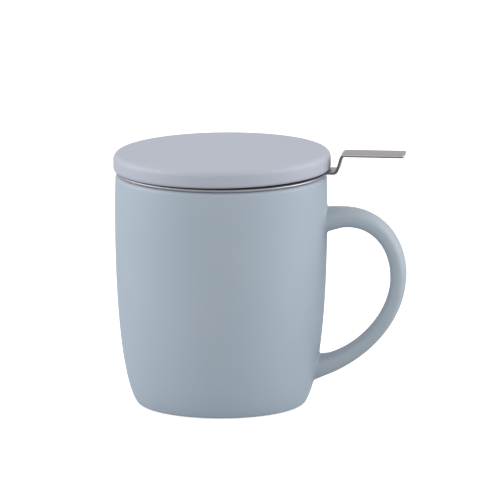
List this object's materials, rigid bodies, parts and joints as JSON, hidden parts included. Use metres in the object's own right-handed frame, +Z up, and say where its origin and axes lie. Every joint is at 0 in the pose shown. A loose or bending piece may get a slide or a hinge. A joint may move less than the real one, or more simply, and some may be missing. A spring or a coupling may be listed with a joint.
{
  "type": "lidded tea mug with infuser",
  "caption": "Ceramic mug with a loop handle and a loose disc lid, and a loose steel infuser whose rim and strap grip show between them.",
  "frame": {"origin": "middle of the face that the mug stands on", "axes": "+Z up, +X towards the handle and the infuser's strap, +Y to the left of the handle"},
  "size_m": [0.1204, 0.089, 0.1051],
  "materials": {
    "blue_stoneware": "satin matt glaze",
    "satin_steel": "satin",
    "basket_steel": "fine perforated sheet, mill finish"
  },
  "bodies": {
    "mug": {"mug_body": "blue_stoneware", "mug_handle": "blue_stoneware"},
    "infuser": {"infuser_rim": "satin_steel", "infuser_wall": "basket_steel", "infuser_base": "basket_steel", "infuser_strap": "satin_steel"},
    "lid": {"mug_lid": "blue_stoneware"}
  },
  "joints": [
    {"name": "infuser_lift", "type": "slide", "parent": "mug", "child": "infuser", "axis": [0, 0, 1], "range_m": [0, 0.1]},
    {"name": "lid_lift", "type": "slide", "parent": "infuser", "child": "lid", "axis": [0, 0, 1], "range_m": [0, 0.05]}
  ]
}
